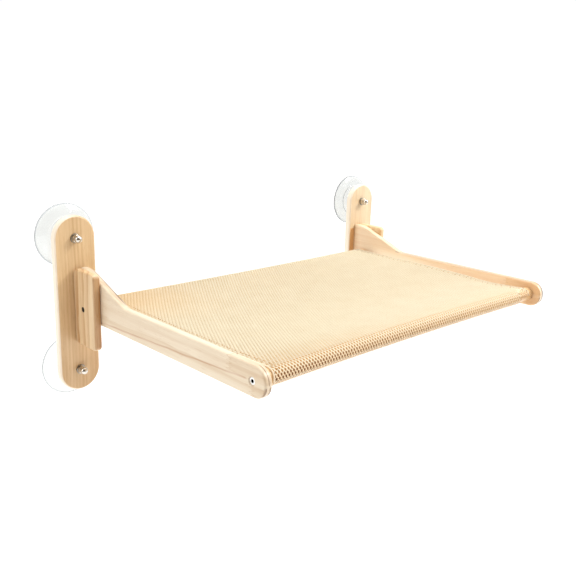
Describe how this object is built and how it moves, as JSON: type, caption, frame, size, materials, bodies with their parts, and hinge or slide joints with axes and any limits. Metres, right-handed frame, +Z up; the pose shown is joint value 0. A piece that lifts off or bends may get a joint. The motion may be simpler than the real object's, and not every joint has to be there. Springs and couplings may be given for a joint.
{
  "type": "window mounted cat perch",
  "caption": "Mesh sling on a wooden bracket frame that hangs on a window pane from suction cups fastened with dome nuts.",
  "frame": {"origin": "the point of the window glass halfway between the four suction cups", "axes": "+X along the dowels to the right seen from the room, +Y out through the glass, +Z up"},
  "size_m": [0.614, 0.377, 0.252],
  "materials": {
    "pine": "clear satin varnish",
    "mesh_fabric": "knitted air mesh",
    "clear_vinyl": "clear soft vinyl",
    "chrome": "polished",
    "steel": "zinc plated",
    "black_screw": "black oxide"
  },
  "bodies": {
    "perch_frame": {"front_dowel": "pine", "rear_dowel": "pine", "fabric_sling": "mesh_fabric", "left_upright": "pine", "left_cleat": "pine", "left_arm": "pine", "left_front_bolt": "steel", "left_insert": "steel", "left_dowel_screw": "black_screw", "left_cleat_screws": "steel", "left_arm_screws": "steel", "left_upper_cup": "clear_vinyl", "left_upper_stud": "steel", "left_lower_cup": "clear_vinyl", "left_lower_stud": "steel", "right_upright": "pine", "right_cleat": "pine", "right_arm": "pine", "right_front_bolt": "steel", "right_insert": "steel", "right_dowel_screw": "black_screw", "right_cleat_screws": "steel", "right_arm_screws": "steel", "right_upper_cup": "clear_vinyl", "right_upper_stud": "steel", "right_lower_cup": "clear_vinyl", "right_lower_stud": "steel"},
    "left_upper_washer_set": {"left_upper_washer": "steel"},
    "left_upper_nut_set": {"left_upper_dome_nut": "chrome"},
    "left_lower_washer_set": {"left_lower_washer": "steel"},
    "left_lower_nut_set": {"left_lower_dome_nut": "chrome"},
    "right_upper_washer_set": {"right_upper_washer": "steel"},
    "right_upper_nut_set": {"right_upper_dome_nut": "chrome"},
    "right_lower_washer_set": {"right_lower_washer": "steel"},
    "right_lower_nut_set": {"right_lower_dome_nut": "chrome"}
  },
  "joints": [
    {"name": "left_upper_nut_turn", "type": "hinge", "parent": "left_upper_washer_set", "child": "left_upper_nut_set", "pos_m": [-0.267, -0.0286, 0.086], "axis": [0, -1, 0], "range_deg": [0, 2880]},
    {"name": "left_upper_nut_travel", "type": "slide", "parent": "perch_frame", "child": "left_upper_washer_set", "axis": [0, -1, 0], "range_m": [0, 0.008]},
    {"name": "left_lower_nut_turn", "type": "hinge", "parent": "left_lower_washer_set", "child": "left_lower_nut_set", "pos_m": [-0.267, -0.0286, -0.086], "axis": [0, -1, 0], "range_deg": [0, 2880]},
    {"name": "left_lower_nut_travel", "type": "slide", "parent": "perch_frame", "child": "left_lower_washer_set", "axis": [0, -1, 0], "range_m": [0, 0.008]},
    {"name": "right_upper_nut_turn", "type": "hinge", "parent": "right_upper_washer_set", "child": "right_upper_nut_set", "pos_m": [0.267, -0.0286, 0.086], "axis": [0, -1, 0], "range_deg": [0, 2880]},
    {"name": "right_upper_nut_travel", "type": "slide", "parent": "perch_frame", "child": "right_upper_washer_set", "axis": [0, -1, 0], "range_m": [0, 0.008]},
    {"name": "right_lower_nut_turn", "type": "hinge", "parent": "right_lower_washer_set", "child": "right_lower_nut_set", "pos_m": [0.267, -0.0286, -0.086], "axis": [0, -1, 0], "range_deg": [0, 2880]},
    {"name": "right_lower_nut_travel", "type": "slide", "parent": "perch_frame", "child": "right_lower_washer_set", "axis": [0, -1, 0], "range_m": [0, 0.008]}
  ],
  "couplings": [
    {"joint": "left_upper_nut_travel", "follows": "left_upper_nut_turn", "m_per_rad": 0.00015915},
    {"joint": "left_lower_nut_travel", "follows": "left_lower_nut_turn", "m_per_rad": 0.00015915},
    {"joint": "right_upper_nut_travel", "follows": "right_upper_nut_turn", "m_per_rad": 0.00015915},
    {"joint": "right_lower_nut_travel", "follows": "right_lower_nut_turn", "m_per_rad": 0.00015915}
  ]
}
